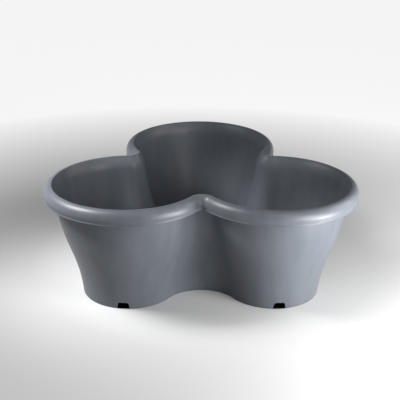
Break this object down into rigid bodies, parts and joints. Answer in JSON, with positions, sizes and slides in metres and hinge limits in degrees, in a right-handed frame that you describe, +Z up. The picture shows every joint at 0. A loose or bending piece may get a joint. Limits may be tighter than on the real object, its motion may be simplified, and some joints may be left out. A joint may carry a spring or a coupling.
{
  "type": "plant pot",
  "caption": "Wide moulded planter with round pockets in a clover-leaf outline, rolled rim, notched foot and drain plugs.",
  "frame": {"origin": "on the ground, in the middle of the box that the pot takes up", "axes": "+Z up, +X across the two front pockets, +Y towards the back pocket"},
  "size_m": [0.4998, 0.4684, 0.188],
  "materials": {
    "shell_plastic": "satin anthracite, moulded",
    "plug_plastic": "matt black, soft"
  },
  "bodies": {
    "pot": {"pot_shell": "shell_plastic"},
    "plug_back": {"drain_plug_back": "plug_plastic"},
    "plug_left": {"drain_plug_left": "plug_plastic"},
    "plug_right": {"drain_plug_right": "plug_plastic"}
  },
  "joints": [
    {"name": "plug_back_pull", "type": "slide", "parent": "pot", "child": "plug_back", "axis": [0, 0, 1], "range_m": [0, 0.04]},
    {"name": "plug_left_pull", "type": "slide", "parent": "pot", "child": "plug_left", "axis": [0, 0, 1], "range_m": [0, 0.04]},
    {"name": "plug_right_pull", "type": "slide", "parent": "pot", "child": "plug_right", "axis": [0, 0, 1], "range_m": [0, 0.04]}
  ]
}
